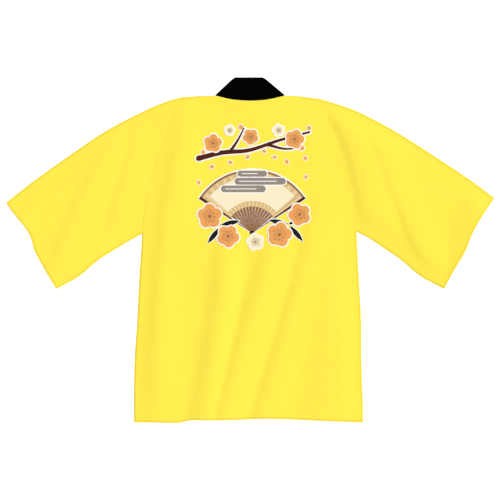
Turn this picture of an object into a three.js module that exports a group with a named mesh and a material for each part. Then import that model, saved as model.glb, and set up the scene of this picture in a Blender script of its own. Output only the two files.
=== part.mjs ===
// Happi: a short, straight Japanese festival coat, laid flat on its front with its back up.
// Millimetres. The surface it lies on is z = 0, +Y runs from the hem to the collar and +X to the
// wearer's right. The fronts, the undersides of the sleeves and the two arms of the collar band
// lie on the surface; the back, the upper sides of the sleeves and the back neck lie over them.

import * as THREE from 'three';

// ---------------------------------------------------------------- driving sizes

const WALL = 1.2;             // cloth of the body and sleeves
const BAND = 2.0;             // collar band, folded double
const SEAM_GAP = 0.3;         // between pieces that are sewn together
const SEAM_STEP = WALL + SEAM_GAP;
const LOFT = 0.9;             // air that lifts the upper layer away from the seams
const ROLL = 25;              // distance from a seam over which the upper layer rises
const HEM_TUCK = 3;           // the fronts end this much above the back's hem

const BAND_WIDTH = 59;        // collar band, seam to fold
const FRONT_EDGE = 64;        // centre line to the seam between front and band
const FRONT_BEND = 120;       // height where the front edge turns in from the neck
const FRONT_HEM = -417;       // lower end of the band

const SIDE_STEPS = 15;        // divisions along the side seam
const ARMHOLE_STEPS = 11;     // divisions along the armhole
const SHOULDER_STEPS = 8;     // divisions along each shoulder seam
const NECK_STEPS = 16;        // divisions along the back neck
const FRONT_STEPS = 5;        // divisions across a front
const BEND_STEPS = 17;        // divisions of the front edge below its bend
const SLEEVE_STEPS = 20;      // divisions from armhole to cuff
const FOLD_TURNS = 4;         // facets of the band where it folds over at the neck

// Outline of the left half from above; each run starts nearest the centre line or the hem.
const LEFT = {
  sign: -1,
  side: [
    { x: -290, y: -431 },
    { x: -290.5, y: -377 },
    { x: -288.7, y: -277 },
    { x: -282.4, y: -177 },
    { x: -277.4, y: -77 },
    { x: -271.5, y: 11 },
    { x: -270, y: 39.5 },
  ],
  armhole: [
    { x: -270, y: 39.5 },
    { x: -258, y: 134 },
    { x: -233, y: 223 },
    { x: -206, y: 298 },
    { x: -171, y: 381 },
  ],
  shoulder: [
    { x: -86, y: 384.4 },
    { x: -125, y: 384.2 },
    { x: -171, y: 381 },
  ],
  overarm: [
    { x: -171, y: 381 },
    { x: -210, y: 370.3 },
    { x: -270, y: 344.5 },
    { x: -360, y: 297 },
    { x: -450, y: 236.8 },
    { x: -540, y: 172.5 },
    { x: -609.5, y: 118 },
  ],
  cuff: [
    { x: -484, y: -98 },
    { x: -512, y: -51.7 },
    { x: -538.7, y: -1.7 },
    { x: -545.4, y: 23.3 },
    { x: -557, y: 48 },
    { x: -577, y: 73.3 },
    { x: -597, y: 98.5 },
    { x: -609.5, y: 118 },
  ],
  underarm: [
    { x: -270, y: 39.5 },
    { x: -299.5, y: 23.3 },
    { x: -340.6, y: -1.7 },
    { x: -380, y: -26.7 },
    { x: -424, y: -64 },
    { x: -466.8, y: -89 },
    { x: -484, y: -98 },
  ],
};

// The right half, a little different because the cloth isn't laid perfectly even.
const RIGHT = {
  sign: 1,
  side: [
    { x: 282, y: -431 },
    { x: 280.9, y: -377 },
    { x: 277.5, y: -277 },
    { x: 276.9, y: -177 },
    { x: 271.5, y: -77 },
    { x: 266.9, y: 11 },
    { x: 265.5, y: 45 },
  ],
  armhole: [
    { x: 265.5, y: 45 },
    { x: 255, y: 134 },
    { x: 232, y: 232 },
    { x: 207, y: 298 },
    { x: 175, y: 376.5 },
  ],
  shoulder: [
    { x: 85, y: 384.4 },
    { x: 120, y: 384 },
    { x: 175, y: 376.5 },
  ],
  overarm: [
    { x: 175, y: 376.5 },
    { x: 210, y: 366 },
    { x: 270, y: 344.5 },
    { x: 360, y: 297 },
    { x: 450, y: 240.5 },
    { x: 540, y: 181 },
    { x: 588, y: 146 },
    { x: 609.5, y: 129.5 },
  ],
  cuff: [
    { x: 484, y: -97.5 },
    { x: 508.6, y: -51.7 },
    { x: 537.8, y: -1.7 },
    { x: 546.6, y: 23.3 },
    { x: 572, y: 73.3 },
    { x: 609.5, y: 129.5 },
  ],
  underarm: [
    { x: 265.5, y: 45 },
    { x: 296.5, y: 28.3 },
    { x: 341.9, y: -1.7 },
    { x: 377.4, y: -26.7 },
    { x: 422.4, y: -64.2 },
    { x: 466.9, y: -89.2 },
    { x: 484, y: -97.5 },
  ],
};

// Back hem from left to right; it steps up where a fold runs out.
const HEM = [
  { x: -290, y: -431 },
  { x: -240, y: -431 },
  { x: -180, y: -432 },
  { x: -150, y: -425.5 },
  { x: -90, y: -425.5 },
  { x: -30, y: -424.3 },
  { x: 30, y: -421.7 },
  { x: 90, y: -422.8 },
  { x: 180, y: -427 },
  { x: 282, y: -431 },
];

// Neck seam of the back from left to right, and the upper edge of the band at its folds.
const NECK = [
  { x: -86, y: 384.4 },
  { x: -45, y: 375 },
  { x: 0, y: 371.8 },
  { x: 43, y: 375 },
  { x: 85, y: 384.4 },
];
const BAND_TOP = 430.4;
const BAND_TOP_LEFT = -37;
const BAND_TOP_RIGHT = 30;

// Folds of the upper layer. A crest runs straight from (x0, y0) to (x1, y1), moved sideways by
// bow at its middle. The cloth climbs to it over rise on its left and drops over fall on its right.
const FOLDS = [
  { name: 'left armhole', x0: -118, y0: 480, x1: -250, y1: -520, bow: 33, rise: 48, fall: 90, height: 2.4 },
  { name: 'left skirt', x0: -52, y0: 100, x1: -150, y1: -560, bow: -15, rise: 48, fall: 60, height: 2.7 },
  { name: 'middle skirt', x0: 84, y0: 90, x1: -109, y1: -560, bow: 2, rise: 42, fall: 80, height: 2.7 },
  { name: 'right skirt', x0: 196, y0: 190, x1: -18, y1: -560, bow: -8, rise: 38, fall: 85, height: 2.4 },
  { name: 'right flank', x0: 200, y0: 60, x1: 206, y1: -520, bow: 0, rise: 110, fall: 90, height: 1 },
  { name: 'right armhole', x0: 192, y0: 440, x1: 328, y1: -10, bow: -12, rise: 60, fall: 110, height: 2.7 },
  { name: 'right arm', x0: 262, y0: 430, x1: 493, y1: -140, bow: 12, rise: 32, fall: 80, height: 2.2 },
  { name: 'right cuff', x0: 590, y0: 200, x1: 520, y1: -120, bow: 0, rise: 60, fall: 60, height: 1.9 },
  { name: 'left arm, long', x0: -306, y0: 360, x1: -518, y1: -100, bow: 0, rise: 32, fall: 80, height: 1.5 },
  { name: 'left arm, short', x0: -263, y0: 340, x1: -354, y1: 10, bow: 0, rise: 30, fall: 60, height: 1.1 },
];
const FOLD_FADE = 0.25;       // share of a fold's length over which each end fades out

// ---------------------------------------------------------------- materials

const yellowCloth = () => new THREE.MeshStandardMaterial({ color: 0xfdf04f, roughness: 0.82, metalness: 0 });
const blackCloth = () => new THREE.MeshStandardMaterial({ color: 0x0c0b09, roughness: 0.78, metalness: 0 });

// ---------------------------------------------------------------- small helpers

const smooth = (value) => THREE.MathUtils.smoothstep(value, 0, 1);
const moved = (points, dx, dy) => points.map((point) => new THREE.Vector2(point.x + dx, point.y + dy));
const wallUp = (point, z) => [point.x, point.y, z];

function curvePoints(rows, steps) {
  const curve = new THREE.SplineCurve(rows.map((row) => new THREE.Vector2(row.x, row.y)));
  return curve.getSpacedPoints(steps);
}

function linePoints(from, to, steps) {
  const line = new THREE.LineCurve(new THREE.Vector2(from.x, from.y), new THREE.Vector2(to.x, to.y));
  return line.getPoints(steps);
}

// Runs that follow each other, with the point that two of them share kept once.
function joined(...runs) {
  return runs.reduce((whole, run) => whole.concat(run.slice(1)), [runs[0][0]]);
}

// Points inside four edges; start and end run across, low and high run along.
function patch(start, end, low, high) {
  const across = start.length - 1;
  const along = low.length - 1;
  const grid = [];
  for (let j = 0; j <= along; j += 1) {
    const v = j / along;
    const row = [];
    for (let i = 0; i <= across; i += 1) {
      const u = i / across;
      const between = start[i].clone().lerp(end[i], v).add(low[j].clone().lerp(high[j], u));
      const cornersStart = start[0].clone().lerp(start[across], u);
      const cornersEnd = end[0].clone().lerp(end[across], u);
      row.push(between.sub(cornersStart.lerp(cornersEnd, v)));
    }
    grid.push(row);
  }
  return grid;
}

function enclosedVolume(positions, triangles) {
  const [a, b, c] = [new THREE.Vector3(), new THREE.Vector3(), new THREE.Vector3()];
  let volume = 0;
  for (let k = 0; k < triangles.length; k += 3) {
    a.fromArray(positions, 3 * triangles[k]);
    b.fromArray(positions, 3 * triangles[k + 1]);
    c.fromArray(positions, 3 * triangles[k + 2]);
    volume += a.dot(b.cross(c)) / 6;
  }
  return volume;
}

function closedMesh(name, material, positions, triangles) {
  const geometry = new THREE.BufferGeometry();
  geometry.setAttribute('position', new THREE.Float32BufferAttribute(positions, 3));
  geometry.setIndex(enclosedVolume(positions, triangles) < 0 ? triangles.reverse() : triangles);
  geometry.computeVertexNormals();
  const mesh = new THREE.Mesh(geometry, material);
  mesh.name = name;
  return mesh;
}

// Closed body from rings of points of one length; the first and last rings are joined by `ends`.
function ringBody(name, material, rings, ends) {
  const size = rings[0].length;
  const triangles = [];
  const quad = (a, b, c, d) => triangles.push(a, b, c, a, c, d);
  for (let r = 0; r + 1 < rings.length; r += 1) {
    for (let k = 0; k < size; k += 1) {
      const next = (k + 1) % size;
      quad(r * size + k, r * size + next, (r + 1) * size + next, (r + 1) * size + k);
    }
  }
  ends(quad, size, rings.length);
  return closedMesh(name, material, rings.flat(2), triangles);
}

// ---------------------------------------------------------------- how high the cloth lies

// Sewn or folded edges of the coat's outline, where the two layers come together.
const seamLines = [LEFT, RIGHT].flatMap((half) => [
  curvePoints(half.side, SIDE_STEPS),
  curvePoints(half.shoulder, SHOULDER_STEPS).slice(SHOULDER_STEPS / 2),
  curvePoints(half.overarm, SLEEVE_STEPS),
  curvePoints(half.underarm, SLEEVE_STEPS),
]);

function seamDistance(x, y) {
  const point = new THREE.Vector3(x, y, 0);
  const nearest = new THREE.Vector3();
  const line = new THREE.Line3();
  let distance = Infinity;
  for (const points of seamLines) {
    for (let k = 0; k + 1 < points.length; k += 1) {
      line.start.set(points[k].x, points[k].y, 0);
      line.end.set(points[k + 1].x, points[k + 1].y, 0);
      line.closestPointToPoint(point, true, nearest);
      distance = Math.min(distance, nearest.distanceTo(point));
    }
  }
  return distance;
}

function foldHeight(fold, x, y) {
  const [dx, dy] = [fold.x1 - fold.x0, fold.y1 - fold.y0];
  const length = Math.hypot(dx, dy);
  const along = ((x - fold.x0) * dx + (y - fold.y0) * dy) / length ** 2;
  if (along <= 0 || along >= 1) return 0;
  const rightOfLine = ((y - fold.y0) * dx - (x - fold.x0) * dy) / length;
  const across = rightOfLine + fold.bow * 4 * along * (1 - along);
  const reach = across < 0 ? -across / fold.rise : across / fold.fall;
  const profile = reach < 1 ? Math.cos(reach * Math.PI / 2) ** 2 : 0;
  const fade = smooth(along / FOLD_FADE) * smooth((1 - along) / FOLD_FADE);
  return fold.height * profile * fade;
}

// Underside of the upper layer.
function upperLevel(x, y) {
  const tallest = Math.max(...FOLDS.map((fold) => foldHeight(fold, x, y)));
  return SEAM_STEP + (LOFT + tallest) * smooth(seamDistance(x, y) / ROLL);
}

// Underside of a front: flat on the surface, and up against the back along the shoulder seam.
function frontLevel(x, y, shoulderY) {
  const nearShoulder = smooth(1 - (shoulderY - y) / ROLL);
  return (upperLevel(x, y) - SEAM_STEP) * nearShoulder;
}

// ---------------------------------------------------------------- pieces

// A wall of cloth over a grid of points, its underside at level(x, y).
function clothPanel(name, grid, level) {
  const columns = grid[0].length;
  const rings = grid.map((row) => {
    const lower = row.map((point) => wallUp(point, level(point.x, point.y)));
    const upper = lower.map(([x, y, z]) => [x, y, z + WALL]);
    return lower.concat(upper.reverse());
  });
  const ends = (quad, size, count) => {
    for (const first of [0, (count - 1) * size]) {
      for (let i = 0; i + 1 < columns; i += 1) {
        const corners = [first + i, first + i + 1, first + size - 2 - i, first + size - 1 - i];
        quad(...(first === 0 ? corners.reverse() : corners));
      }
    }
  };
  return ringBody(name, yellowCloth(), rings, ends);
}

function bodyEdge(half) {
  return joined(curvePoints(half.side, SIDE_STEPS), curvePoints(half.armhole, ARMHOLE_STEPS));
}

function backPanel() {
  const top = joined(
    curvePoints(LEFT.shoulder, SHOULDER_STEPS).reverse(),
    curvePoints(NECK, NECK_STEPS),
    curvePoints(RIGHT.shoulder, SHOULDER_STEPS),
  );
  const hem = curvePoints(HEM, top.length - 1);
  return clothPanel('back', patch(hem, top, bodyEdge(LEFT), bodyEdge(RIGHT)), upperLevel);
}

// Corners of the seam between a front and its arm of the band.
function frontSeam(half) {
  return {
    hem: { x: half.sign * FRONT_EDGE, y: FRONT_HEM },
    bend: { x: half.sign * FRONT_EDGE, y: FRONT_BEND },
    neck: half.shoulder[0],
  };
}

function frontPanel(name, half) {
  const seam = frontSeam(half);
  const slantSteps = SIDE_STEPS + ARMHOLE_STEPS - BEND_STEPS;
  const inner = moved(
    joined(linePoints(seam.hem, seam.bend, BEND_STEPS), linePoints(seam.bend, seam.neck, slantSteps)),
    half.sign * SEAM_GAP, 0,
  );
  const outer = bodyEdge(half);
  const hemCorner = outer[0].clone().add(new THREE.Vector2(0, HEM_TUCK));
  outer[0] = hemCorner;
  const hem = linePoints(inner[0], hemCorner, FRONT_STEPS);
  const top = curvePoints(half.shoulder, FRONT_STEPS);
  top[0] = inner[inner.length - 1];
  return clothPanel(name, patch(hem, top, inner, outer), (x, y) => frontLevel(x, y, half.shoulder[0].y));
}

// A tube pressed flat: one layer on the surface, one over it, folded along the arm's upper edge.
function sleeve(name, half) {
  const gap = half.sign * SEAM_GAP;
  const armhole = moved(curvePoints(half.armhole, ARMHOLE_STEPS), gap, 0);
  const cuff = curvePoints(half.cuff, ARMHOLE_STEPS);
  const lower = curvePoints(half.underarm, SLEEVE_STEPS);
  const upper = curvePoints(half.overarm, SLEEVE_STEPS);
  lower[0] = armhole[0];
  upper[0] = armhole[ARMHOLE_STEPS];
  const middle = WALL + SEAM_GAP / 2;
  const last = ARMHOLE_STEPS;
  const rings = patch(armhole, cuff, lower, upper).map((row, station) => {
    const outward = row[last].clone().sub(row[0]).normalize();
    const bulge = station === 0 ? 0 : middle;
    const insideRow = row.map((point) => point.clone());
    insideRow[0].addScaledVector(outward, WALL);
    insideRow[last].addScaledVector(outward, -WALL);
    const edge = (point, distance) => wallUp(point.clone().addScaledVector(outward, distance), middle);
    const outside = [
      ...row.map((point) => wallUp(point, 0)),
      edge(row[last], bulge),
      ...row.map((point) => wallUp(point, upperLevel(point.x, point.y) + WALL)).reverse(),
      edge(row[0], -bulge),
    ];
    const inside = [
      ...insideRow.map((point) => wallUp(point, WALL)),
      edge(insideRow[last], SEAM_GAP / 2),
      ...insideRow.map((point) => wallUp(point, upperLevel(point.x, point.y))).reverse(),
      edge(insideRow[0], -SEAM_GAP / 2),
    ];
    return { outside, inside };
  });
  return tubeBody(name, rings);
}

// Walls between the outside and inside rings, closed at the armhole and at the cuff.
function tubeBody(name, rings) {
  const size = rings[0].outside.length;
  const loop = [...rings.map((ring) => ring.outside), ...rings.map((ring) => ring.inside).reverse()];
  const ends = (quad, ringSize, count) => {
    const lastRing = (count - 1) * ringSize;
    for (let k = 0; k < size; k += 1) {
      const next = (k + 1) % size;
      quad(lastRing + k, lastRing + next, next, k);
    }
  };
  return ringBody(name, yellowCloth(), loop, ends);
}

// Cross-section of the band between its free edge and its seam. A turn of 0 lies on the surface,
// a half turn lies over it, and the turns between go round the fold, out from its line.
function bandSection(free, seam, turn, outward) {
  const middle = BAND + SEAM_GAP / 2;
  const corner = (point, radius) => [
    point.x + outward.x * radius * Math.sin(turn),
    point.y + outward.y * radius * Math.sin(turn),
    middle - radius * Math.cos(turn),
  ];
  return [
    corner(free, middle),
    corner(seam, middle),
    corner(seam, SEAM_GAP / 2),
    corner(free, SEAM_GAP / 2),
  ];
}

// One arm of the band, from the hem up to its fold at the neck and once over.
function bandArm(half, foldFree) {
  const seam = frontSeam(half);
  const inward = -half.sign * BAND_WIDTH;
  const freeHem = { x: seam.hem.x + inward, y: seam.hem.y };
  const freeBend = { x: seam.bend.x + inward, y: seam.bend.y };
  const straight = BEND_STEPS;
  const slant = SIDE_STEPS + ARMHOLE_STEPS - BEND_STEPS;
  const seamEdge = joined(linePoints(seam.hem, seam.bend, straight), linePoints(seam.bend, seam.neck, slant));
  const freeEdge = joined(linePoints(freeHem, freeBend, straight), linePoints(freeBend, foldFree, slant));
  const foldLine = new THREE.Vector2(foldFree.x - seam.neck.x, foldFree.y - seam.neck.y).normalize();
  const outward = new THREE.Vector2(half.sign * foldLine.y, -half.sign * foldLine.x);
  const sections = seamEdge.map((point, k) => bandSection(freeEdge[k], point, 0, outward));
  for (let k = 1; k <= FOLD_TURNS; k += 1) {
    const turn = Math.PI * k / FOLD_TURNS;
    sections.push(bandSection(foldFree, seam.neck, turn, outward));
  }
  return sections;
}

function collarBand() {
  const foldLeft = { x: BAND_TOP_LEFT, y: BAND_TOP };
  const foldRight = { x: BAND_TOP_RIGHT, y: BAND_TOP };
  const neckSeam = moved(curvePoints(NECK, NECK_STEPS), 0, SEAM_GAP);
  const topEdge = linePoints(foldLeft, foldRight, NECK_STEPS);
  const still = new THREE.Vector2(0, 0);
  const across = neckSeam.slice(1, -1).map((point, k) => bandSection(topEdge[k + 1], point, Math.PI, still));
  const sections = [...bandArm(LEFT, foldLeft), ...across, ...bandArm(RIGHT, foldRight).reverse()];
  const ends = (quad, size, count) => {
    const last = (count - 1) * size;
    quad(3, 2, 1, 0);
    quad(last, last + 1, last + 2, last + 3);
  };
  return ringBody('collar', blackCloth(), sections, ends);
}

// ---------------------------------------------------------------- the coat

const coat = new THREE.Group();
coat.add(backPanel());
coat.add(frontPanel('front_left', LEFT));
coat.add(frontPanel('front_right', RIGHT));
coat.add(sleeve('sleeve_left', LEFT));
coat.add(sleeve('sleeve_right', RIGHT));
coat.add(collarBand());

export default coat;
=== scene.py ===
import math

import bmesh
import bpy
import numpy as np
from mathutils import Matrix, Vector


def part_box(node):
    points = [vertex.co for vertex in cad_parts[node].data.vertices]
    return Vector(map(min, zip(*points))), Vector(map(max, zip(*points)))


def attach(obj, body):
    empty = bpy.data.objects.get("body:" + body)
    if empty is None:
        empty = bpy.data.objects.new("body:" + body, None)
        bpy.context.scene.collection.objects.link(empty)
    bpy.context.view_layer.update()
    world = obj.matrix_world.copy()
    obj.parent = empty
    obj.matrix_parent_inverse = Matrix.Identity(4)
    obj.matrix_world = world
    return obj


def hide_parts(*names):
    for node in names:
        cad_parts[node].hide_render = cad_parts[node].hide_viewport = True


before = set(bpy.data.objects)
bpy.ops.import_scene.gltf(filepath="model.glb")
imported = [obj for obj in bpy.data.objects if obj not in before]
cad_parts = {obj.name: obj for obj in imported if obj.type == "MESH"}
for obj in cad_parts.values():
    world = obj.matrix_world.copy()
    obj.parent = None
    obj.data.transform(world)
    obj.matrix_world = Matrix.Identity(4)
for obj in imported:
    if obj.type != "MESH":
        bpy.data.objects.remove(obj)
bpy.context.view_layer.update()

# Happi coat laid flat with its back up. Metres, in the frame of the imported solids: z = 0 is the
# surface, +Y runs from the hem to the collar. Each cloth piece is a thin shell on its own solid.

# ---------------------------------------------------------------- sizes

MM = 0.001
WALL = 1.2 * MM                # wall of the solids
SEAM_GAP = 0.3 * MM            # between two solids that are sewn together
CLOTH = 0.7 * MM               # woven cloth of the coat
BAND = 2.0 * MM                # collar band, folded double
BAND_CLOTH = 0.6 * MM          # one layer of the band
SEAM_LEVEL = WALL + SEAM_GAP / 2   # where the upper and lower layers meet at the outline
BAND_LEVEL = BAND + SEAM_GAP / 2   # the same for the band at the neck
LOFT = 0.9 * MM                # air that lifts the upper layer away from the seams
ROLL = 60 * MM                 # distance over which it rises
EDGE_ROUND = 2.2 * MM          # radius of a sewn or folded edge
EDGE_SHADE_FULL = 2.5 * MM            # painted edge shade, for the shade of the rolled edges, is deepest from here
EDGE_SHADE_END = 3.6 * MM             # to here
EDGE_SHADE_FADE = 2.4 * MM            # and is lost over this much more
ARMHOLE_VALLEY = 0.05 * MM     # how far the armhole seam draws the cloth in
VALLEY_REACH = 2.5 * MM        # and how far from the seam
HEM_TURN = 14 * MM             # depth of the turned and stitched hems
HEM_THICK = 0.2 * MM           # what the turned cloth adds outside
HEM_STEP = 3 * MM              # over which that ends
STITCH_IN = 12 * MM            # from the edge of a hem to its stitches
DRAWN_IN = 0.15 * MM           # how far the stitches pull the hem in
DRAWN_REACH = 1.6 * MM         # and how far from them
DETAIL_FADE = 4 * MM           # hems and puckers end this near the outline
CREASE_BLEND = 3.0             # how softly folds run into each other

# ---------------------------------------------------------------- camera, floor and light

LENS = 100                     # millimetres
SENSOR = 36                    # millimetres across
FARTHEST = 50                  # metres, past which nothing is drawn
CAMERA_HEIGHT = 3.468          # with this lens a 1.25 m square fills the frame
CAMERA_PLACE = (-0.9 * MM, -0.45 * MM)   # a hair off the middle of the coat


def overhead_camera():
    lens = bpy.data.cameras.new("camera")
    lens.lens = LENS
    lens.sensor_width = SENSOR
    lens.clip_end = FARTHEST
    camera = bpy.data.objects.new("camera", lens)
    camera.location = (*CAMERA_PLACE, CAMERA_HEIGHT)
    bpy.context.collection.objects.link(camera)
    bpy.context.scene.camera = camera


SUN_WAY = (-0.95, -0.3, -0.55)  # low, from the wearer's right and a little from the collar
SUN_STRENGTH = 3.35
SUN_SPREAD = 30                # degrees, wide for soft shadows
SKY_STRENGTH = 0.58
FLOOR_SIZE = 60
FLOOR_SHADE = 0.93
FLOOR_GLOW = 0.65              # bright enough to swallow soft shadows


def studio_light():
    sun = bpy.data.lights.new("window", "SUN")
    sun.energy = SUN_STRENGTH
    sun.angle = math.radians(SUN_SPREAD)
    lamp = bpy.data.objects.new("window", sun)
    lamp.rotation_euler = Vector(SUN_WAY).to_track_quat("-Z", "Y").to_euler()
    bpy.context.collection.objects.link(lamp)
    world = bpy.data.worlds.new("studio")
    world.use_nodes = True
    sky = world.node_tree.nodes["Background"]
    sky.inputs["Color"].default_value = (1, 1, 1, 1)
    sky.inputs["Strength"].default_value = SKY_STRENGTH
    bpy.context.scene.world = world
    bpy.context.scene.view_settings.view_transform = "Standard"


# ---------------------------------------------------------------- shader maths


class Value:
    """A shader number for Python expressions: each operator adds its Math node."""

    def __init__(self, finish, socket):
        self.finish = finish
        self.socket = socket

    def math(self, operation, *others):
        return self.finish.number("ShaderNodeMath", {"operation": operation}, [self, *others])

    def __add__(self, other):
        return self.math("ADD", other)

    def __mul__(self, other):
        return self.math("MULTIPLY", other)

    __radd__ = __add__
    __rmul__ = __mul__

    def sine(self):
        return self.math("SINE")


class Finish:
    """A material and its nodes."""

    def __init__(self, name):
        self.material = bpy.data.materials.new(name)
        self.material.use_nodes = True
        self.tree = self.material.node_tree
        self.shader = self.tree.nodes["Principled BSDF"]

    def node(self, kind, settings, inputs):
        made = self.tree.nodes.new(kind)
        for key, value in settings.items():
            setattr(made, key, value)
        named = inputs.items() if isinstance(inputs, dict) else enumerate(inputs)
        for key, value in named:
            self.feed(made.inputs[key], value)
        return made

    def number(self, kind, settings, inputs):
        return Value(self, self.node(kind, settings, inputs).outputs[0])

    def across_and_along(self, place):
        """The first two coordinates of a place, as two numbers."""
        split = self.node("ShaderNodeSeparateXYZ", {}, [place])
        return Value(self, split.outputs[0]), Value(self, split.outputs[1])

    def bump(self, height, strength, depth):
        inputs = {"Strength": strength, "Distance": depth, "Height": height}
        return self.node("ShaderNodeBump", {}, inputs).outputs[0]

    def feed(self, socket, value):
        if isinstance(value, Value):
            value = value.socket
        if isinstance(value, bpy.types.NodeSocket):
            self.tree.links.new(value, socket)
        else:
            socket.default_value = value

    def surface(self, **inputs):
        for name, value in inputs.items():
            self.feed(self.shader.inputs[name.replace("_", " ")], value)
        return self.material


STUDIO_BRIGHTNESS = 1.09       # how much brighter the lights make a flat surface than its own colour


def linear(red, green, blue):
    """A colour as the eye reads it in this light, 0 to 255, as the shader's own numbers, by the
    usual screen curve."""
    shares = (channel / 255 for channel in (red, green, blue))
    full = (s / 12.92 if s < 0.04045 else ((s + 0.055) / 1.055) ** 2.4 for s in shares)
    return tuple(channel / STUDIO_BRIGHTNESS for channel in full) + (1.0,)


def blended(finish, mask, first, second):
    mix = finish.node(
        "ShaderNodeMix",
        {"data_type": "RGBA"},
        {"Factor": mask, 6: first, 7: second},
    )
    return mix.outputs[2]


# ---------------------------------------------------------------- finishes

FULL_TURN = 2 * math.pi
THREAD_PITCH = 0.55 * MM       # one thread of the plain weave
WEAVE_DEPTH = 0.12 * MM
WEAVE_FEEL = 0.35              # strength of the weave's bump
WEAVE_SHARE = 0.6              # of that bump; uneven threads make the rest
SLUB_ACROSS = 900.0            # thick and thin threads, per metre across the threads
SLUB_ALONG = 22.0              # and along them
CLOUDS = (11.0, 7.0)           # slow changes of shade, per metre across and along the cut
THREAD_SHADE = 0.7             # share of the threads in the changes of shade; clouds make the rest
GLOSS_CHANGE = 0.12            # how much the roughness differs from thread to thread
SHEEN_ROUGHNESS = 0.5
SHEEN_TINT = (1, 0.9, 0.4, 1)

INK_WORN = (420.0, 420.0)      # spots of thinner ink, per metre
INK_PALER = (1.12, 0.01)       # times and plus, for the colour there
INK_DEPTH = 0.08 * MM          # weave that shows through
INK_FEEL = 0.25
INK_ROUGHNESS = 0.55
INK_ROUGHER = 0.1              # added on the spots
INK_GLOSS = 0.1

TWIST_PITCH = 0.45 * MM        # one turn of the sewing thread
TWIST_SHADE = 0.8              # of its colour: painted shade in the grooves between the turns
THREAD_ROUGHNESS = 0.5


def weave(across, along):
    """Height of a plain weave, 0 to 1, at a place in metres."""
    turn = math.pi / THREAD_PITCH
    return (across * turn).sine() * (along * turn).sine() * 0.5 + 0.5


def thread_noise(finish, place, scale, detail=2.0):
    """Noise from 0 to 1 with scale spots a metre, across and along."""
    stretched = finish.node("ShaderNodeVectorMath", {"operation": "MULTIPLY"}, [place, (*scale, 1.0)])
    return finish.number(
        "ShaderNodeTexNoise",
        {},
        {"Vector": stretched.outputs[0], "Scale": 1.0, "Detail": detail, "Roughness": 0.55},
    )


def woven_finish(name, colour, deep, rim, roughness, sheen, gloss):
    """Plain-woven cloth: uneven threads both ways, faint cloudiness, a weave that can be felt, and a
    painted edge shade: a deeper colour along the sewn and turned edges, for the shade of their roll."""
    finish = Finish(name)
    cut = finish.node("ShaderNodeUVMap", {"uv_map": "cut"}, {}).outputs[0]
    across, along = finish.across_and_along(cut)
    warp = thread_noise(finish, cut, (SLUB_ACROSS, SLUB_ALONG))
    weft = thread_noise(finish, cut, (SLUB_ALONG, SLUB_ACROSS))
    cloudy = thread_noise(finish, cut, CLOUDS, detail=3.0)
    uneven = (warp + weft) * 0.5
    mask = uneven * THREAD_SHADE + cloudy * (1 - THREAD_SHADE)
    # painted edge shade: a darker colour along the rolled edges, standing in for their shade
    painted_edge_shade = finish.node("ShaderNodeAttribute", {"attribute_name": "rim"}, {}).outputs["Fac"]
    height = weave(across, along) * WEAVE_SHARE + uneven * (1 - WEAVE_SHARE)
    return finish.surface(
        Normal=finish.bump(height, WEAVE_FEEL, WEAVE_DEPTH),
        Base_Color=blended(finish, painted_edge_shade, blended(finish, mask, deep, colour), rim),
        Roughness=uneven * GLOSS_CHANGE + (roughness - GLOSS_CHANGE / 2),
        Sheen_Weight=sheen,
        Sheen_Roughness=SHEEN_ROUGHNESS,
        Sheen_Tint=SHEEN_TINT,
        Specular_IOR_Level=gloss,
    )


def ink_finish(name, colour):
    """Flat printed ink that has sunk into the weave."""
    finish = Finish(name)
    place = finish.node("ShaderNodeTexCoord", {}, {}).outputs["Object"]
    across, along = finish.across_and_along(place)
    worn = thread_noise(finish, place, INK_WORN, detail=3.0)
    times, plus = INK_PALER
    paler = tuple(min(1.0, channel * times + plus) for channel in colour[:3]) + (1.0,)
    return finish.surface(
        Normal=finish.bump(weave(across, along), INK_FEEL, INK_DEPTH),
        Base_Color=blended(finish, worn, colour, paler),
        Roughness=worn * INK_ROUGHER + INK_ROUGHNESS,
        Specular_IOR_Level=INK_GLOSS,
    )


def thread_finish(name, colour, sheen, gloss):
    """Twisted sewing thread, with painted shade between its turns."""
    finish = Finish(name)
    place = finish.node("ShaderNodeTexCoord", {}, {}).outputs["Object"]
    across, along = finish.across_and_along(place)
    twist = ((across + along) * (FULL_TURN / TWIST_PITCH)).sine() * 0.5 + 0.5
    darker = tuple(channel * TWIST_SHADE for channel in colour[:3]) + (1.0,)
    return finish.surface(
        Base_Color=blended(finish, twist, darker, colour),
        Roughness=THREAD_ROUGHNESS,
        Sheen_Weight=sheen,
        Specular_IOR_Level=gloss,
    )


def floor_finish():
    """White paper on a light table."""
    return Finish("pale_floor").surface(
        Base_Color=(FLOOR_SHADE, FLOOR_SHADE, FLOOR_SHADE, 1),
        Roughness=0.9,
        Specular_IOR_Level=0.1,
        Emission_Color=(1, 1, 1, 1),
        Emission_Strength=FLOOR_GLOW,
    )


# The cloths' colours in the shader's own numbers, and the inks' as the eye reads them.
YELLOW = (0.950, 0.796, 0.081, 1)
YELLOW_DEEP = (0.935, 0.762, 0.058, 1)
# painted edge shade for the rolled edges
YELLOW_EDGE_SHADE = (0.86, 0.635, 0.048, 1)
YELLOW_THREAD = (0.88, 0.74, 0.065, 1)
BLACK = (0.0011, 0.0008, 0.0006, 1)
BLACK_DEEP = (0.0004, 0.0003, 0.0002, 1)
BLACK_THREAD = (0.004, 0.004, 0.004, 1)
INKS = {
    "white": linear(250, 248, 240),
    "tan": linear(214, 180, 124),
    "sand": linear(228, 202, 152),
    "cream": linear(246, 232, 196),
    "brown": linear(150, 104, 70),
    "dark_brown": linear(78, 22, 8),
    "orange": linear(233, 160, 88),
    "grey": linear(146, 135, 126),
    "black": linear(16, 13, 12),
}

# ---------------------------------------------------------------- outlines, from the solids

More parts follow.
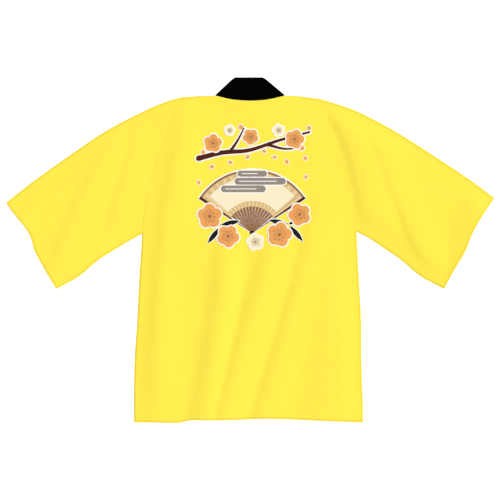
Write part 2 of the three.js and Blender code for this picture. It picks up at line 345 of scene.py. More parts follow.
SAME_POINT = 0.001 * MM        # corners of a solid closer than this are one
TOUCHING = 0.05 * MM           # as good as lying on a level
LEVEL = 0.9                    # how far up or down a face looks if it counts as level
LEANING = 0.5                  # the same for cloth that rises and falls
NECK_TOP = 2 * BAND_LEVEL      # top of the band where it crosses the back neck


def outline(node, kept):
    """Points round the part of a solid whose faces pass kept(normal, centre)."""
    bm = bmesh.new()
    bm.from_mesh(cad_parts[node].data)
    bmesh.ops.remove_doubles(bm, verts=bm.verts, dist=SAME_POINT)
    bm.normal_update()
    others = [face for face in bm.faces if not kept(face.normal, face.calc_center_median())]
    bmesh.ops.delete(bm, geom=others, context="FACES")
    first = next(vert for vert in bm.verts if vert.is_boundary)
    points = [first.co.copy()]
    edge = next(e for e in first.link_edges if e.is_boundary)
    vert = edge.other_vert(first)
    while vert != first:
        points.append(vert.co.copy())
        edge = next(e for e in vert.link_edges if e.is_boundary and e != edge)
        vert = edge.other_vert(vert)
    bm.free()
    return points


def on_surface(normal, centre):
    return normal.z < -LEVEL and centre.z < TOUCHING


def on_neck_top(normal, centre):
    return normal.z > LEVEL and centre.z > NECK_TOP - TOUCHING


def faces_down(normal, centre):
    return normal.z < -LEANING


def corner(points, x, y):
    """Index of the outline point that lies furthest towards (x, y)."""
    return max(range(len(points)), key=lambda k: points[k].x * x + points[k].y * y)


def sides(points, *directions):
    """The four runs of an outline between its four corners: start, end, low and high."""
    corners = [corner(points, *way) for way in directions]
    count = len(points)
    ahead = [(c - corners[0]) % count for c in corners]
    if ahead[1] > ahead[3]:
        points = list(reversed(points))
        corners = [count - 1 - c for c in corners]

    def run(first, last):
        steps = (last - first) % count
        return [points[(first + k) % count] for k in range(steps + 1)]

    a, b, c, d = corners
    return {"start": run(a, b), "high": run(b, c), "end": run(c, d)[::-1], "low": run(d, a)[::-1]}


def along_curve(points, shares):
    """Places at shares of the length of a smooth curve through the given points."""
    rough = np.array([(p[0], p[1]) for p in points])
    reach = np.concatenate([[0], np.cumsum(np.linalg.norm(np.diff(rough, axis=0), axis=1))])
    slope = np.gradient(rough, reach, axis=0)
    at = np.asarray(shares) * reach[-1]
    k = np.clip(np.searchsorted(reach, at) - 1, 0, len(reach) - 2)
    step = (reach[k + 1] - reach[k])[:, None]
    t = (at - reach[k])[:, None] / step
    start = rough[k] * (1 + 2 * t) * (1 - t) ** 2 + slope[k] * step * t * (1 - t) ** 2
    end = rough[k + 1] * t * t * (3 - 2 * t) + slope[k + 1] * step * t * t * (t - 1)
    return start + end


def evenly(run, count, first=0.0):
    """As many places as count, evenly along a run from its share first to its end."""
    return along_curve(run, np.linspace(first, 1, count))


def run_length(points):
    return sum((b - a).length for a, b in zip(points, points[1:]))


def area_inside(points):
    pairs = zip(points, points[1:] + points[:1])
    return abs(sum(a.x * b.y - b.x * a.y for a, b in pairs)) / 2


BACK = sides(outline("back", faces_down), (-1, -1), (1, -1), (0.5, 1), (-0.5, 1))
HALVES = {
    side: {
        "sleeve": sides(
            outline("sleeve_" + side, on_surface),
            (-sign, -1), (-sign, 1.2), (sign, 0), (0, -1),
        ),
        "front": sides(
            outline("front_" + side, faces_down),
            (-sign, -1), (sign, -1), (sign * 0.5, 1), (-sign * 0.5, 1),
        ),
    }
    for side, sign in (("left", -1), ("right", 1))
}

# ---------------------------------------------------------------- how high the cloth lies

# Folds of the upper layer, in millimetres. A crest runs from (x0, y0) to (x1, y1), moved sideways
# by bow at its middle. The cloth climbs over rise on its left and drops over fall on its right.
#  x0    y0    x1    y1   bow  rise fall height
FOLDS = [
    (-118, 480, -250, -520, 33, 48, 90, 2.4),
    (-52, 100, -150, -560, -15, 48, 60, 3.6),
    (84, 90, -109, -560, 2, 44, 80, 3.2),
    (196, 190, -18, -560, -8, 38, 85, 2.4),
    (200, 60, 206, -520, 0, 110, 90, 1.0),
    (262, 430, 493, -140, 12, 32, 80, 2.2),
    (590, 200, 520, -120, 0, 60, 60, 1.9),
    (-306, 360, -518, -100, 0, 32, 80, 1.5),
    (-263, 340, -354, 10, 0, 30, 60, 1.1),
]
# The fold that starts in the right armhole seam and leans on the sleeve only.
SLEEVE_FOLDS = [
    (192, 440, 328, -10, -12, 60, 110, 2.9),
]
SLEEVE_SIDE = 10 * MM          # it begins this far on the body's side of the seam
SLEEVE_EASE = 32 * MM          # and is whole after this
FOLD_FADE = 0.25               # share of a fold's length at each end where it fades


def smooth(value):
    eased = np.clip(value, 0, 1)
    return eased * eased * (3 - 2 * eased)


def fold_height(x, y, folds=FOLDS):
    total = np.zeros_like(x)
    for x0, y0, x1, y1, bow, rise, fall, height in np.array(folds) * MM:
        dx, dy = x1 - x0, y1 - y0
        length = math.hypot(dx, dy)
        along = ((x - x0) * dx + (y - y0) * dy) / length**2
        across = ((y - y0) * dx - (x - x0) * dy) / length + bow * 4 * along * (1 - along)
        reach = np.where(across < 0, -across / rise, across / fall)
        profile = np.cos(np.clip(reach, 0, 1) * math.pi / 2) ** 2
        fade = smooth(along / FOLD_FADE) * smooth((1 - along) / FOLD_FADE)
        total += (height * profile * fade) ** CREASE_BLEND
    return total ** (1 / CREASE_BLEND)


def distance_to(lines, x, y):
    """Distance of each point from the nearest of several lines of points."""
    nearest = np.full(x.shape, np.inf)
    for line in lines:
        for (ax, ay), (bx, by) in zip(line, line[1:]):
            dx, dy = bx - ax, by - ay
            t = np.clip(((x - ax) * dx + (y - ay) * dy) / (dx * dx + dy * dy), 0, 1)
            nearest = np.minimum(nearest, np.hypot(x - ax - t * dx, y - ay - t * dy))
    return nearest


def seam_lines():
    """Sewn and folded edges of the coat's outline, where its two layers meet."""
    lines = []
    for half in HALVES.values():
        side = evenly(half["front"]["high"], 60)
        armpit = evenly(half["sleeve"]["start"], 24)[0]
        lines.append(np.vstack([side[side[:, 1] < armpit[1]], armpit]))
        lines.append(evenly(half["front"]["end"], 8, 0.5))
        lines.append(evenly(half["sleeve"]["low"], 24))
        lines.append(evenly(half["sleeve"]["high"], 30))
    return lines


SEAMS = seam_lines()
ARMHOLES = [evenly(half["sleeve"]["start"], 24) for half in HALVES.values()]
HEM_LINE = [evenly(BACK["start"], 50)]
CUFF_LINES = [evenly(half["sleeve"]["end"], 24) for half in HALVES.values()]


def beside(distance, reach):
    """1 on a line, fading to nothing at about twice the reach from it."""
    return np.exp(-((distance / reach) ** 2))


def turned_hem(distance):
    """Extra height of a hem: the cloth turned under, drawn in along its line of stitches."""
    turned = HEM_THICK * (1 - smooth((distance - HEM_TURN) / HEM_STEP))
    return turned - DRAWN_IN * beside(distance - STITCH_IN, DRAWN_REACH)


PUCKER = 0.07 * MM
PUCKER_SHIFT = (1.7, 31.0)     # how far the waves wander from even in radians, and how fast
PUCKER_LEAN = 0.3              # so that seams that run across the coat have waves too
#  reach from the seam, pitch
SEAM_PUCKERS = (9 * MM, 23 * MM)
ARMHOLE_PUCKERS = (11 * MM, 19 * MM)


def ripples(distance, along, reach, pitch):
    """Small puckers beside a seam, square to it, uneven in length."""
    far, often = PUCKER_SHIFT
    wave = np.sin(along * FULL_TURN / pitch + far * np.sin(along * often))
    return PUCKER * wave * beside(distance, reach)


#  radians a metre in x, in y, start, height in millimetres
SWELL = [
    (13, 4, 0.3, 0.13),
    (-7, 16, 1.9, 0.13),
    (24, 9, 4.0, 0.12),
    (-19, 27, 2.2, 0.11),
    (38, -12, 5.1, 0.10),
    (150, 70, 0.9, 0.035),
    (-110, 160, 3.3, 0.035),
    (95, -205, 5.5, 0.030),
    (225, -45, 1.2, 0.022),
]
SWELL_BEND = 20 * MM           # how far its waves bend out of line
BENDS = ((17, 3), (21, 1))     # radians a metre and start, in x and in y


def soft_swell(x, y):
    """Slow unevenness of cloth that has been smoothed out by hand."""
    (turn_x, start_x), (turn_y, start_y) = BENDS
    bend = SWELL_BEND * (np.sin(turn_x * x + start_x) + np.sin(turn_y * y + start_y))
    total = np.zeros_like(x)
    for across, along, start, height in SWELL:
        total += height * MM * np.sin(across * (x + bend) + along * (y - bend) + start)
    return total


def edge_round(distance):
    """0 at a sewn or folded edge, 1 where the cloth has turned to lie flat."""
    inward = 1 - np.clip(distance / EDGE_ROUND, 0, 1)
    return np.sqrt(1 - inward * inward)


def beyond_armhole(x, y):
    """1 on the right sleeve, 0 on the body, with an eased change at the armhole seam."""
    line = ARMHOLES[1][np.argsort(ARMHOLES[1][:, 1])]
    return smooth((x - np.interp(y, line[:, 1], line[:, 0]) + SLEEVE_SIDE) / SLEEVE_EASE)


def upper_surface(x, y):
    """Outer surface of the upper layer."""
    seam = distance_to(SEAMS, x, y)
    armhole = distance_to(ARMHOLES, x, y)
    hem = distance_to(HEM_LINE, x, y)
    cuff = distance_to(CUFF_LINES, x, y)
    folds = fold_height(x, y) ** CREASE_BLEND
    folds += (fold_height(x, y, SLEEVE_FOLDS) * beyond_armhole(x, y)) ** CREASE_BLEND
    raised = (LOFT + folds ** (1 / CREASE_BLEND) + soft_swell(x, y)) * smooth(seam / ROLL)
    details = turned_hem(hem) + turned_hem(cuff) - ARMHOLE_VALLEY * beside(armhole, VALLEY_REACH)
    details += ripples(seam, y + PUCKER_LEAN * x, *SEAM_PUCKERS) + ripples(armhole, y, *ARMHOLE_PUCKERS)
    details *= smooth(seam / DETAIL_FADE)
    return SEAM_LEVEL + SEAM_LEVEL * edge_round(seam) + raised + details


def edge_shade_share(x, y):
    """Painted edge shade, for the shade of a rolled sewn or turned edge: 1 just inside the edge, 0
    further in and on the very edge.
    """
    edge = distance_to(SEAMS + HEM_LINE + CUFF_LINES, x, y)
    return smooth(edge / EDGE_SHADE_FULL) * (1 - smooth((edge - EDGE_SHADE_END) / EDGE_SHADE_FADE))


def lower_surface(seam):
    """Outer surface of the layer that lies on the ground, from its distance to the sewn edge."""
    return SEAM_LEVEL * (1 - edge_round(seam))


# ---------------------------------------------------------------- making cloth


def patch(runs, across, along):
    """Points inside four runs, at shares across and along, as an array of rows."""
    start, end = along_curve(runs["start"], across), along_curve(runs["end"], across)
    low, high = along_curve(runs["low"], along), along_curve(runs["high"], along)
    u = np.asarray(across)[None, :, None]
    v = np.asarray(along)[:, None, None]
    between = start[None] * (1 - v) + end[None] * v + low[:, None] * (1 - u) + high[:, None] * u
    corners_start = start[0] * (1 - u) + start[-1] * u
    corners_end = end[0] * (1 - u) + end[-1] * u
    return between - corners_start * (1 - v) - corners_end * v


def closer_at_ends(steps, near, share=0.05):
    """Shares from 0 to 1, closer together over the first and last `near` of the way."""
    return np.interp(np.linspace(0, 1, steps + 1), [0, share, 1 - share, 1], [0, near, 1 - near, 1])


def cloth_sheet(name, points, cut, facing, rim=None):
    """A grid laid on rows of points, with a map of the cut in metres; facing is up or down. rim says
    how much painted edge shade each point gets."""
    rows, columns = points.shape[:2]
    bm = bmesh.new()
    bmesh.ops.create_grid(bm, x_segments=columns - 1, y_segments=rows - 1, size=0.5)
    layer = bm.loops.layers.uv.new("cut")
    # painted edge shade of each point, kept as the rim attribute
    painted_edge_shade = bm.verts.layers.float.new("rim")
    spots = {}
    for vert in bm.verts:
        spot = round((vert.co.y + 0.5) * (rows - 1)), round((vert.co.x + 0.5) * (columns - 1))
        spots[vert] = spot
        vert.co = points[spot]
        vert[painted_edge_shade] = 0.0 if rim is None else rim[spot]
    for face in bm.faces:
        face.smooth = True
        for loop in face.loops:
            loop[layer].uv = cut[spots[loop.vert]]
    bm.normal_update()
    if sum(face.normal.z for face in bm.faces if abs(face.normal.z) > LEANING) * facing < 0:
        bmesh.ops.reverse_faces(bm, faces=bm.faces)
    return as_object(name, bm)


def as_object(name, bm):
    mesh = bpy.data.meshes.new(name)
    bm.to_mesh(mesh)
    bm.free()
    made = bpy.data.objects.new(name, mesh)
    bpy.context.collection.objects.link(made)
    return made


def thicken(piece, thickness):
    """Gives a sheet its thickness, inwards from the outer surface."""
    solid = piece.modifiers.new("thickness", "SOLIDIFY")
    solid.thickness = thickness
    solid.offset = -1
    solid.use_even_offset = True
    return piece


def finished(piece, material, slot, *nodes):
    piece.data.materials.append(material)
    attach(piece, "root")
    if nodes:
        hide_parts(*nodes)
    return piece


def cut_map(across, along, width=1.0, length=1.0):
    """Metres across and along the cut cloth, for each column and row of a sheet, from their shares
    of its width and length."""
    return np.dstack(np.meshgrid(np.asarray(across) * width, np.asarray(along) * length))


# ---------------------------------------------------------------- body and sleeves

# Divisions of each panel across and along, closer together near its edges.
BACK_ACROSS = closer_at_ends(150, 0.012)
BACK_ALONG = closer_at_ends(210, 0.02, 0.06)
FRONT_ACROSS = closer_at_ends(44, 0.03)
FRONT_ALONG = closer_at_ends(120, 0.02, 0.06)
SLEEVE_ACROSS = closer_at_ends(90, 0.02, 0.08)
SLEEVE_ALONG = closer_at_ends(120, 0.02, 0.06)


def back_panel(material, printed):
    flat = patch(BACK, BACK_ACROSS, BACK_ALONG)
    x, y = flat[..., 0], flat[..., 1]
    points = np.dstack([flat, upper_surface(x, y)])
    cut = cut_map(BACK_ACROSS, BACK_ALONG, run_length(BACK["start"]), run_length(BACK["low"]))
    piece = thicken(cloth_sheet("back_panel", points, cut, 1, edge_shade_share(x, y)), CLOTH)
    finished(piece, material, "yellow_cloth", "back")
    area_inside(outline("back", faces_down))


def front_panel(side, material):
    """Flat on the surface, and lifted close under the back near the shoulder."""
    half = HALVES[side]["front"]
    flat = patch(half, FRONT_ACROSS, FRONT_ALONG)
    x, y = flat[..., 0], flat[..., 1]
    seam = distance_to(SEAMS, x, y)
    neck_height = half["end"][0].y
    near_shoulder = smooth(1 - (neck_height - y) / ROLL) * smooth(seam / ROLL)
    raised = (LOFT + fold_height(x, y)) * near_shoulder
    points = np.dstack([flat, lower_surface(seam) + raised])
    cut = cut_map(FRONT_ACROSS, FRONT_ALONG, run_length(half["start"]), run_length(half["low"]))
    piece = thicken(cloth_sheet("front_%s_panel" % side, points, cut, -1, edge_shade_share(x, y)), CLOTH)
    finished(piece, material, "yellow_cloth", "front_" + side)
    low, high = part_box("front_" + side)
    area_inside(outline("front_" + side, faces_down))


TUCK_DEPTH = 1.1 * CLOTH       # how far below the body's cloth a sleeve's seam allowance runs
TUCK_SHARE = 0.35              # or this share of the space between the layers, if that is less
# The allowance: how far in from the seam, and how deep as a share of its full depth.
TUCKS = ((6 * MM, 1.0), (2.5 * MM, 1.0), (0.8 * MM, 0.95), (0.28 * MM, 0.2))


def sleeve(side, material, stitched):
    """One rectangle of cloth wrapped round: from the underarm seam over the top and back below. At
    the armhole its seam allowance runs on between the layers of the body."""
    runs = HALVES[side]["sleeve"]
    flat = patch(runs, SLEEVE_ACROSS, SLEEVE_ALONG)
    x, y = flat[..., 0], flat[..., 1]
    over = np.dstack([flat, upper_surface(x, y)])
    under = np.dstack([flat, lower_surface(distance_to(SEAMS, x, y))])
    inward = flat[0] - flat[1]
    inward /= np.linalg.norm(inward, axis=1)[:, None]
    depth = np.minimum(TUCK_DEPTH, TUCK_SHARE * (over[0, :, 2] - under[0, :, 2]))
    rows_over, rows_under = [], []
    for reach, sunk in TUCKS:
        spot = flat[0] + inward * reach
        rows_over.append(np.column_stack([spot, over[0, :, 2] - depth * sunk]))
        rows_under.append(np.column_stack([spot, under[0, :, 2] + depth * sunk]))
    over = np.concatenate([rows_over, over])
    under = np.concatenate([rows_under, under])
    points = np.concatenate([over, under[:, -2::-1]], axis=1)
    width, length = run_length(runs["start"]), run_length(runs["high"])
    around = np.concatenate([SLEEVE_ACROSS, 2 - SLEEVE_ACROSS[-2::-1]])
    along = np.concatenate([[-reach / length for reach, sunk in TUCKS], SLEEVE_ALONG])
    cut = cut_map(around, along, width, length)
    rim = edge_shade_share(points[..., 0], points[..., 1])
    piece = thicken(cloth_sheet("sleeve_%s_tube" % side, points, cut, 1, rim), CLOTH)
    face_outwards(piece)
    finished(piece, material, "yellow_cloth", "sleeve_" + side)
    2 * area_inside(outline("sleeve_" + side, on_surface))


def face_outwards(piece):
    """Turns a tube's faces so that its highest one looks up."""
    bm = bmesh.new()
    bm.from_mesh(piece.data)
    bm.normal_update()
    highest = max(bm.faces, key=lambda face: face.calc_center_median().z)
    if highest.normal.z < 0:
        bmesh.ops.reverse_faces(bm, faces=bm.faces)
    bm.to_mesh(piece.data)
    bm.free()


# ---------------------------------------------------------------- collar band

FOLD_STEPS = 10                # stations round each fold of the band at the neck
ARM_STEPS = 120                # stations along an arm of the band
NECK_STEPS = 60                # stations across the back neck
BAND_FACE = 16                 # divisions of one face of the band, seam to fold
BAND_TURN = 6                  # divisions round its folded edge
FOLD_TAPER = 9 * MM            # the fold at the neck is pressed sharp over this near its outer end
FOLD_PRESS = 0.9               # by this share of its bulge
SEAM_DROP = 0.7 * MM           # how far the neck seam lies below the band's top
SEAM_SLOPE = 2.5 * MM          # over this distance from the seam
CROWN = 0.35 * MM              # how far the band rises between its two edges at the neck


def band_stations():
    """Seam point, free point, half turns made and the way the fold bulges, along the whole band."""
    top = sides(outline("collar", on_neck_top), (-1, 0), (1, 0), (1, 2), (-1, 2))
    across = np.linspace(0, 1, NECK_STEPS + 1)
    neck_seam, neck_free = along_curve(top["start"], across), along_curve(top["end"], across)
    stations = []
    for sign, end in ((-1, 0), (1, -1)):
        arm = sides(
            outline("collar", lambda normal, centre: on_surface(normal, centre) and centre.x * sign > 0),
            (sign, -1), (-sign, -1), (0, 1), (sign, 0),
        )
        share = np.linspace(0, 1, ARM_STEPS + 1)
        seam, free = along_curve(arm["low"], share), along_curve(arm["high"], share)
        line = free[-1] - seam[-1]
        bulge = np.array([sign * line[1], -sign * line[0]]) / np.linalg.norm(line)
        half = [(seam[k], free[k], 0.0, bulge) for k in range(ARM_STEPS + 1)]
        half += [(seam[-1], free[-1], k / FOLD_STEPS, bulge) for k in range(1, FOLD_STEPS)]
        stations.append(half)
    still = np.zeros(2)
    middle = [(neck_seam[k], neck_free[k], 1.0, still) for k in range(NECK_STEPS + 1)]
    return stations[0] + middle + stations[1][::-1]


def band_section(seam, free, half_turns, bulge):
    """Points across one face of the band, round its folded edge and back across the other."""
    width = np.linalg.norm(free - seam)
    way = (free - seam) / width
    radius = BAND / 2
    rim = width - radius
    face = np.linspace(0, rim, BAND_FACE + 1)
    angle = np.linspace(0, math.pi, BAND_TURN + 1)[1:-1]
    reach = np.concatenate([face, rim + radius * np.sin(angle), face[::-1]])
    outer = BAND_LEVEL - SEAM_DROP * half_turns * (1 - smooth(face / SEAM_SLOPE))
    crown = CROWN * half_turns * np.sin(face / rim * math.pi)
    inner = np.full(BAND_FACE + 1, BAND_LEVEL - BAND)
    depth = np.concatenate([outer + crown, BAND_LEVEL - radius + radius * np.cos(angle), inner])
    turn = half_turns * math.pi
    pressed = FOLD_PRESS * smooth((reach - width + FOLD_TAPER) / FOLD_TAPER)
    out = depth * math.sin(turn) * (1 - pressed)
    spot = seam[None] + way[None] * reach[:, None] + bulge[None] * out[:, None]
    return np.column_stack([spot, BAND_LEVEL - depth * math.cos(turn)]), reach


def collar_band(material, thread):
    sections = [band_section(*station) for station in band_stations()]
    points = np.array([section for section, reach in sections])
    steps = np.linalg.norm(np.diff(points[:, BAND_FACE // 2], axis=0), axis=1)
    along = np.concatenate([[0], np.cumsum(steps)])
    width = 2 * sections[0][1].max()
    cut = cut_map(np.linspace(0, width, points.shape[1]), along)
    piece = thicken(cloth_sheet("collar_band", points, cut, 1), BAND_CLOTH)
    face_outwards(piece)
    finished(piece, material, "black_cloth", "collar")
    neck = points[ARM_STEPS + FOLD_STEPS:-ARM_STEPS - FOLD_STEPS, 1]
    row = stitching("collar_stitches", neck, thread, "black_cloth")


# ---------------------------------------------------------------- print on the back

# An open fan under a plum branch, with blossoms, bamboo leaves and bands of mist. Millimetres from
# the middle of the print. grow widens a shape all round, for the white line that edges it.
PRINT_PLACE = (10.6, 154)
PRINT_LIFT = 0.12 * MM         # the first ink above the cloth
PRINT_STEP = 0.06 * MM         # each ink on top of another
PRINT_CELL = 5 * MM            # how closely the print follows the folds
INK_THICK = 0.06 * MM
LOBE_POINTS = 14               # points round one petal
PETAL_FULL = 0.8               # under 1 for fuller petals
LEAF_FULL = 0.85               # under 1 for fuller leaves
CURVE_POINTS = 15              # points along one side of a leaf, or round the end of a mist
ARC_STEP = 0.06                # radians between the points of the fan's arcs
STROKE_POINTS = 8              # points for each corner of a brush stroke


def lobed(x, y, radius, lobes, depth, turn, grow=0.0):
    """Petals round a middle, or a plain disc when depth, the notch between them, is 0."""
    angles = np.arange(0, FULL_TURN, FULL_TURN / (lobes * LOBE_POINTS))
    reach = radius * (1 - depth + depth * np.abs(np.cos(lobes * angles / 2)) ** PETAL_FULL) + grow
    angles = angles + math.radians(turn)
    return np.column_stack([x + reach * np.cos(angles), y + reach * np.sin(angles)])


def disc(x, y, radius, grow=0.0):
    return lobed(x, y, radius, 2, 0.0, 0.0, grow)


def leaf(x, y, length, width, turn, grow=0.0):
    """A narrow leaf that starts at (x, y)."""
    share = np.linspace(0, 1, CURVE_POINTS)
    along = share * (length + 2 * grow) - grow
    half = (width / 2 + grow) * np.sin(share * math.pi) ** LEAF_FULL
    upper = np.column_stack([along, half])
    lower = np.column_stack([along, -half])[-2:0:-1]
    return turned(np.vstack([upper, lower]), turn) + (x, y)


def direction(degrees):
    turn = math.radians(degrees)
    return np.array([math.cos(turn), math.sin(turn)])


def turned(points, degrees):
    return points @ np.array([direction(degrees), direction(degrees + 90)])


def mist(x, y, length, height, grow=0.0):
    """A band of mist with round ends."""
    angles = np.linspace(-math.pi / 2, math.pi / 2, CURVE_POINTS)
    radius = height / 2 + grow
    end = np.column_stack([length / 2 - height / 2 + radius * np.cos(angles), radius * np.sin(angles)])
    return np.vstack([end, -end]) + (x, y)


def sector(inner, outer, start, stop, grow=0.0):
    """Part of the fan's paper, between two angles round its rivet."""
    start, stop = math.radians(start) - grow / outer, math.radians(stop) + grow / outer
    angles = np.linspace(start, stop, max(3, round((stop - start) / ARC_STEP)))
    ring = np.column_stack([np.cos(angles), np.sin(angles)])
    return np.vstack([ring * (outer + grow), ring[::-1] * (inner - grow)]) + FAN_RIVET


def stroke(corners, first, last, grow=0.0):
    """A brush stroke through several points, from its first to its last width."""
    line = evenly(corners, STROKE_POINTS * len(corners))
    way = np.gradient(line, axis=0)
    way /= np.linalg.norm(way, axis=1)[:, None]
    half = (np.linspace(first, last, len(line)) / 2 + grow)[:, None]
    side = np.column_stack([-way[:, 1], way[:, 0]]) * half
    line[0] -= way[0] * grow
    line[-1] += way[-1] * grow
    return np.vstack([line + side, (line - side)[::-1]])


WHITE_EDGE = 3.2               # white line round the fan, the branch and the blossoms
LEAF_EDGE, MIST_EDGE, BUD_EDGE, PETAL_EDGE = 2.6, 2.4, 2.2, 2.0
FAN_RIVET = (-6.0, -112.0)
RIVET_RADIUS = 6
FAN_OPEN = (34.0, 146.0)       # degrees
FAN_INNER, FAN_OUTER = 64.0, 158.0   # radii of the paper
FAN_EDGING = 5                 # brown strip along its outer edge
PLEAT_STOP = 6                 # the pleats end this far from that edge
FIELD = (80.0, 140.0)          # radii of the pale field in its middle
FIELD_SIDE = 7                 # degrees from the field to the ends of the paper
FAN_RIBS = 15
RIB_START = 6                  # from the rivet
RIB_WIDTHS = (0.8, 7.2)        # at the rivet and at the tip
RIB_EDGE = 1.6
RIB_TUCK = 2                   # how far a rib runs on under the paper

BLOSSOM = (5, 0.24)            # petals, and the notch between them as a share of the radius
STAMENS = 15                   # every third one is long
STAMEN_WIDTH = 0.9
# Shares of a blossom's radius: its heart, where stamens start and end, and the dot at their end.
HEART = 0.14
STAMEN_START = 0.2
STAMEN_LONG, STAMEN_SHORT = 0.56, 0.44
STAMEN_TIP = 0.045
STAMEN_MIDDLE = 0.7            # share of a stamen's reach where its stroke has a corner

#  corners from the cut end to the tip, first width, last width
BRANCHES = (
    (((-140, 74), (-84, 88), (-16, 94), (58, 118), (138, 140)), 13, 5),
    (((-62, 90), (-44, 116), (-26, 150)), 8, 3),
    (((34, 108), (74, 98), (112, 100)), 8, 3),
)
#  x, y, radius, turn, ink
BLOSSOMS = (
    (-104, 112, 23, 12, "orange"),
    (-10, 128, 20, 50, "orange"),
    (60, 144, 14, 30, "cream"),
    (100, 122, 24, 0, "orange"),
    (-62, 144, 12, 5, "cream"),
    (-112, -70, 31, 20, "orange"),
    (-66, -120, 28, 60, "orange"),
    (62, -116, 31, 5, "orange"),
    (112, -66, 28, 40, "orange"),
    (2, -134, 20, 30, "cream"),
)
#  x, y, radius
BUDS = ((-34, 152, 6), (118, 100, 6), (-128, 90, 5), (136, 150, 5), (24, 92, 5))
#  x, y, length, width, turn
LEAVES = (
    (-84, -92, 54, 13, 150),
    (-84, -92, 48, 12, 12),
    (84, -90, 52, 13, 20),
    (84, -90, 50, 12, 168),
    (88, -94, 50, 12, -50),
    (-86, -98, 50, 12, 232),
)
#  x, y, length, width, turn
PETALS = (
    (-112, 50, 13, 9, 30),
    (-66, 66, 12, 9, -20),
    (-20, 72, 13, 9, 65),
    (44, 76, 12, 8, 10),
    (84, 60, 14, 9, 120),
    (122, 78, 12, 9, -35),
    (126, 22, 12, 8, 70),
    (-138, 8, 12, 8, 100),
)
#  x, y, length, height
MISTS = ((-28, -2, 112, 17), (14, 17, 128, 17), (-6, 36, 74, 15))
#  to the left, shorter than its mist by, height
MIST_LINE = (6, 34, 2.0)

# Each motif gives its shapes as ink, outline and level, from 0 for the lowest ink to 9.


def fan_shapes():
    low, high = FAN_OPEN
    yield "white", sector(FAN_INNER, FAN_OUTER, low, high, WHITE_EDGE), 0
    yield "tan", sector(FAN_INNER, FAN_OUTER, low, high), 1
    pleat = (high - low) / (2 * FAN_RIBS)
    for k in range(FAN_RIBS):
        start = low + 2 * k * pleat
        yield "sand", sector(FAN_INNER, FAN_OUTER - PLEAT_STOP, start, start + pleat), 2
    yield "cream", sector(*FIELD, low + FIELD_SIDE, high - FIELD_SIDE), 3
    yield "brown", sector(FAN_OUTER - FAN_EDGING, FAN_OUTER, low, high), 3
    for k in range(FAN_RIBS + 1):
        way = direction(low + 2 * k * pleat)
        outermost = k in (0, FAN_RIBS)
        tip = FAN_OUTER if outermost else FAN_INNER + RIB_TUCK
        ink = "dark_brown" if outermost else "brown"
        line = [way * reach + FAN_RIVET for reach in (RIB_START, tip / 2, tip)]
        yield "white", stroke(line, *RIB_WIDTHS, RIB_EDGE), 0
        yield ink, stroke(line, *RIB_WIDTHS), 4
    yield "black", disc(*FAN_RIVET, RIVET_RADIUS), 5


def mist_shapes():
    for place in MISTS:
        yield "white", mist(*place, MIST_EDGE), 4
    left, shorter, line_height = MIST_LINE
    for x, y, length, height in MISTS:
        yield "grey", mist(x, y, length, height), 5
        yield "white", mist(x - left, y, length - shorter, line_height), 6


def branch_shapes():
    for corners, first, last in BRANCHES:
        yield "white", stroke(corners, first, last, WHITE_EDGE), 4
        yield "dark_brown", stroke(corners, first, last), 5
        yield "white", disc(*corners[0], first / 2, WHITE_EDGE), 4
        yield "dark_brown", disc(*corners[0], first / 2), 5
    for place in BUDS:
        yield "white", disc(*place, BUD_EDGE), 4
        yield "orange", disc(*place), 6


def petal_shapes():
    for place in PETALS:
        yield "white", leaf(*place, PETAL_EDGE), 4
        yield "orange", leaf(*place), 5


def leaf_shapes():
    for place in LEAVES:
        yield "white", leaf(*place, LEAF_EDGE), 5
        yield "black", leaf(*place), 6


def blossom_shapes():
    for x, y, radius, turn, ink in BLOSSOMS:
        yield "white", lobed(x, y, radius, *BLOSSOM, turn, WHITE_EDGE), 7
        yield ink, lobed(x, y, radius, *BLOSSOM, turn), 8
        yield "brown", disc(x, y, radius * HEART), 9
        for k in range(STAMENS):
            way = direction(turn + k * 360 / STAMENS) * radius
            tip = STAMEN_SHORT if k % 3 else STAMEN_LONG
            line = [way * reach + (x, y) for reach in (STAMEN_START, tip * STAMEN_MIDDLE, tip)]
            yield "brown", stroke(line, STAMEN_WIDTH, STAMEN_WIDTH), 9
            yield "brown", disc(*line[-1], radius * STAMEN_TIP), 9


def crossed_by_folds(bm):
    """Cuts flat shapes into cells small enough to follow the cloth."""
    bmesh.ops.triangulate(bm, faces=bm.faces)
    for axis in (0, 1):
        low = min(vert.co[axis] for vert in bm.verts)
        high = max(vert.co[axis] for vert in bm.verts)
        normal = Vector((axis == 0, axis == 1, 0))
        for level in np.arange(math.ceil(low / PRINT_CELL) * PRINT_CELL, high, PRINT_CELL):
            geometry = bm.verts[:] + bm.edges[:] + bm.faces[:]
            bmesh.ops.bisect_plane(bm, geom=geometry, plane_co=normal * level, plane_no=normal)


def ink_layer(ink, shapes):
    """All shapes of one ink as one thin skin that lies on the cloth."""
    bm = bmesh.new()
    stack = bm.verts.layers.float.new("stack")
    for points, level in shapes:
        verts = []
        for x, y in (points + PRINT_PLACE) * MM:
            vert = bm.verts.new((x, y, 0))
            vert[stack] = level
            verts.append(vert)
        face = bm.faces.new(verts)
        if face.normal.z < 0:
            face.normal_flip()
    crossed_by_folds(bm)
    place = np.array([vert.co for vert in bm.verts])
    cloth = upper_surface(place[:, 0], place[:, 1])
    for vert, height in zip(bm.verts, cloth):
        vert.co.z = height + PRINT_LIFT + PRINT_STEP * vert[stack]
    for face in bm.faces:
        face.smooth = True
    for edge in bm.edges:
        edge.smooth = not edge.is_boundary
    bm.normal_update()
    bmesh.ops.reverse_faces(bm, faces=[face for face in bm.faces if face.normal.z < 0])
    layer = thicken(as_object("print_" + ink, bm), INK_THICK)
    return finished(layer, ink_finish("ink_" + ink, INKS[ink]), "print_ink")


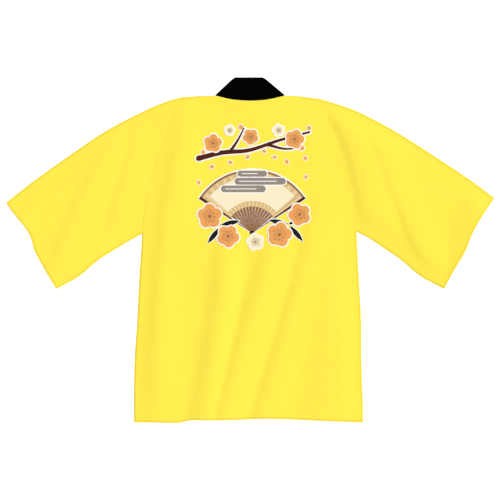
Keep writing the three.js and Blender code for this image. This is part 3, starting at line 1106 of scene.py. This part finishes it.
def back_print():
    shapes = {ink: [] for ink in INKS}
    motifs = fan_shapes, mist_shapes, branch_shapes, petal_shapes, leaf_shapes, blossom_shapes
    for motif in motifs:
        for ink, points, level in motif():
            shapes[ink].append((points, level))
    return [ink_layer(ink, shapes[ink]) for ink in INKS]


# ---------------------------------------------------------------- stitches

STITCH = (1.35 * MM, 0.28 * MM, 0.22 * MM)   # half a stitch: along, across, high
STITCH_PITCH = 3.6 * MM
ROW_ENDS = (0.02, 0.98)        # shares of a hem between which its row runs
HEM_PLACES, CUFF_PLACES = 200, 120   # places along a row where it follows the cloth


def stitching(name, line, thread, slot):
    """One row of machine stitches along a line of points on the cloth."""
    bm = bmesh.new()
    steps = np.linalg.norm(np.diff(line, axis=0), axis=1)
    reach = np.concatenate([[0], np.cumsum(steps)])
    for place in np.arange(STITCH_PITCH, reach[-1] - STITCH_PITCH, STITCH_PITCH):
        k = np.searchsorted(reach, place) - 1
        way = Vector(line[k + 1] - line[k]).normalized()
        spot = Vector(line[k]) + way * (place - reach[k])
        turn = way.to_track_quat("X", "Z").to_matrix().to_4x4()
        matrix = Matrix.Translation(spot) @ turn @ Matrix.Diagonal((*STITCH, 1))
        bmesh.ops.create_uvsphere(bm, u_segments=6, v_segments=5, radius=1, matrix=matrix)
    for face in bm.faces:
        face.smooth = True
    return finished(as_object(name, bm), thread, slot)


def row_on_cloth(name, runs, along, places, thread):
    """A row across a panel at a share of the way along it."""
    flat = patch(runs, np.linspace(*ROW_ENDS, places), [along])[0]
    line = np.column_stack([flat, upper_surface(flat[:, 0], flat[:, 1])])
    return stitching(name, line, thread, "yellow_cloth")


def hem_stitching(thread):
    along = STITCH_IN / run_length(BACK["low"])
    return row_on_cloth("hem_stitches", BACK, along, HEM_PLACES, thread)


def cuff_stitching(side, thread):
    runs = HALVES[side]["sleeve"]
    along = 1 - STITCH_IN / run_length(runs["high"])
    return row_on_cloth("cuff_stitches_" + side, runs, along, CUFF_PLACES, thread)


# ---------------------------------------------------------------- build

overhead_camera()
studio_light()

yellow = woven_finish(
    "yellow_cloth", YELLOW, YELLOW_DEEP, YELLOW_EDGE_SHADE, roughness=0.85, sheen=0.1, gloss=0.08
)
black = woven_finish("black_cloth", BLACK, BLACK_DEEP, BLACK, roughness=0.9, sheen=0.0, gloss=0.02)
yellow_thread = thread_finish("yellow_thread", YELLOW_THREAD, sheen=0.2, gloss=0.3)
black_thread = thread_finish("black_thread", BLACK_THREAD, sheen=0.0, gloss=0.05)
back_panel(yellow, back_print() + [hem_stitching(yellow_thread)])
for side in HALVES:
    front_panel(side, yellow)
    sleeve(side, yellow, [cuff_stitching(side, yellow_thread)])
collar_band(black, black_thread)

bpy.ops.mesh.primitive_plane_add(size=FLOOR_SIZE)
floor = bpy.context.object
floor.name = "floor"
floor.data.materials.append(floor_finish())
